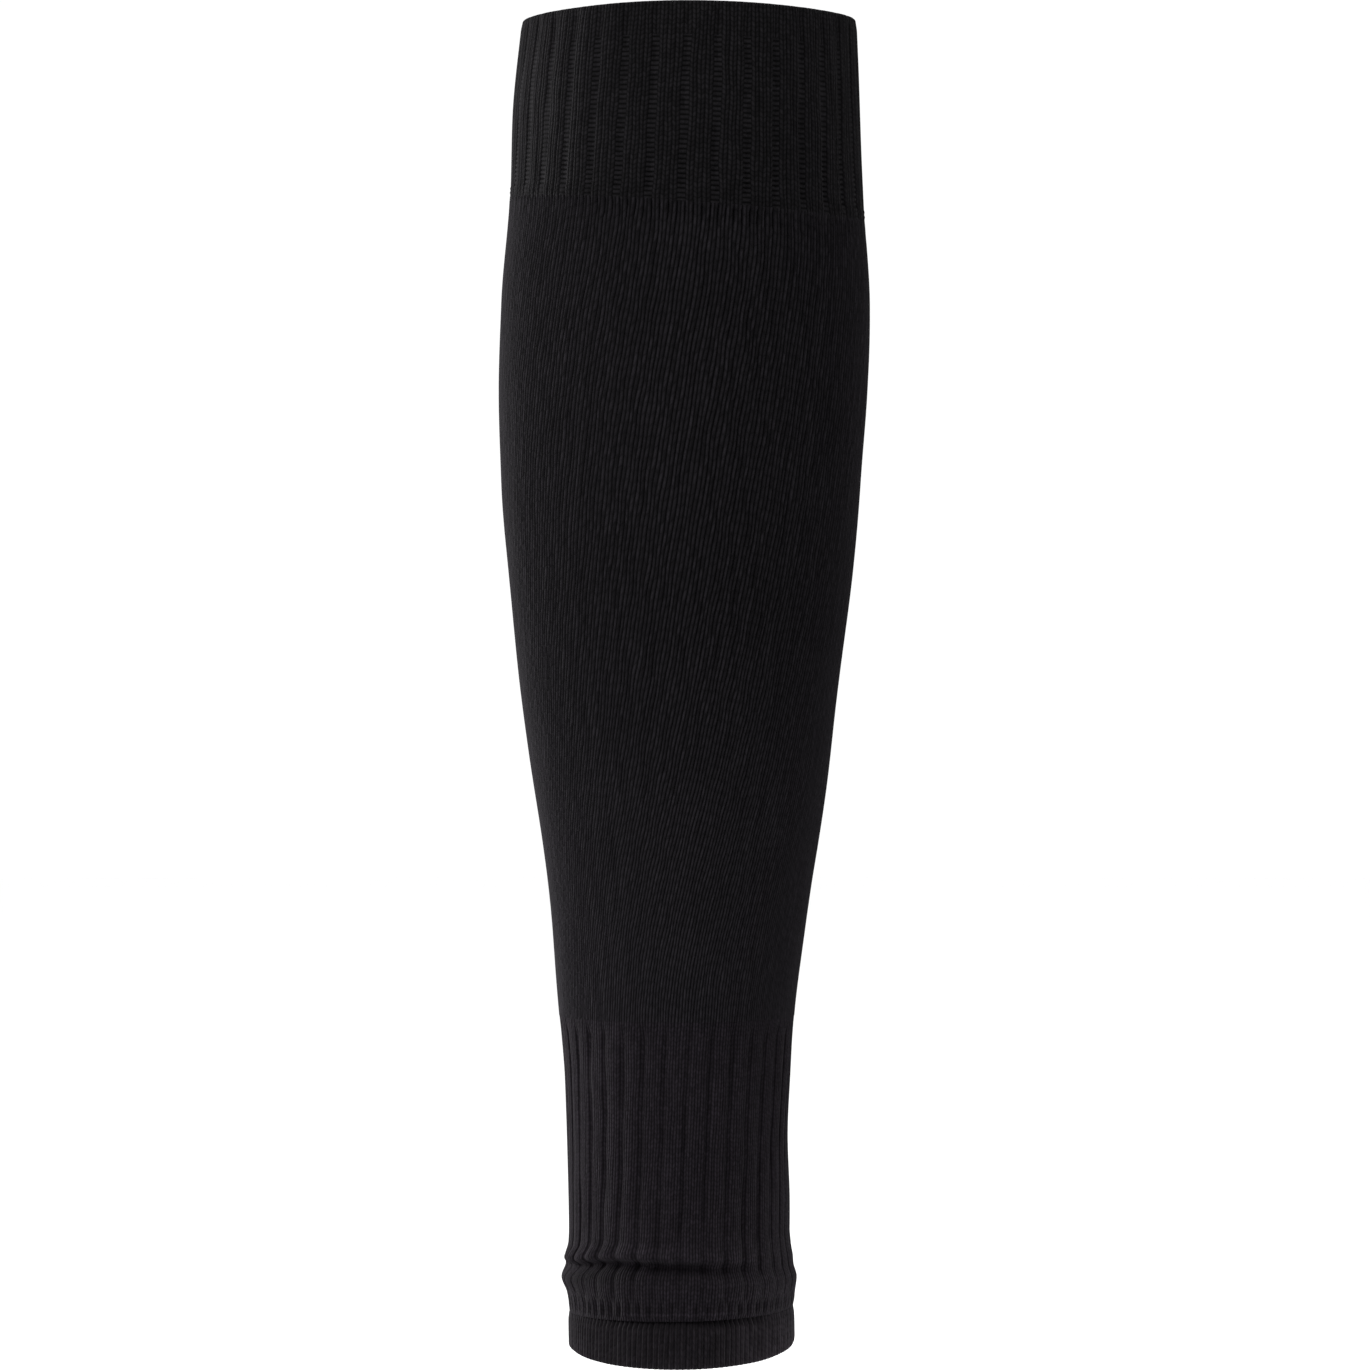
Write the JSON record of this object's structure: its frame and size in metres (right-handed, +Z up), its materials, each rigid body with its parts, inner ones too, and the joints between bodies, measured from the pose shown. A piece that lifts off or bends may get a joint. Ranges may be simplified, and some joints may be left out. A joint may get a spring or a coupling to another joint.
{
  "type": "football sock sleeve",
  "caption": "Footless black knitted sock sleeve in its worn form: ribbed cuff, plain calf tube, ribbed ankle that slouches into a roll, and a fine hem.",
  "frame": {"origin": "on the leg's axis at mid-height of the cuff, where the sleeve grips the leg", "axes": "+Z up along the leg towards the knee, -Y towards the shin, +Y towards the calf"},
  "size_m": [0.101, 0.1123, 0.3636],
  "materials": {
    "cuff_knit": "black broad-rib knit, matt with a soft sheen",
    "leg_knit": "black plain jersey knit, matt with a soft sheen",
    "ankle_knit": "black broad-rib knit, matt with a soft sheen",
    "hem_knit": "black fine-rib knit, matt with a soft sheen"
  },
  "bodies": {
    "root": {"cuff": "cuff_knit", "leg": "leg_knit", "ankle_rib": "ankle_knit", "hem": "hem_knit"}
  },
  "joints": []
}
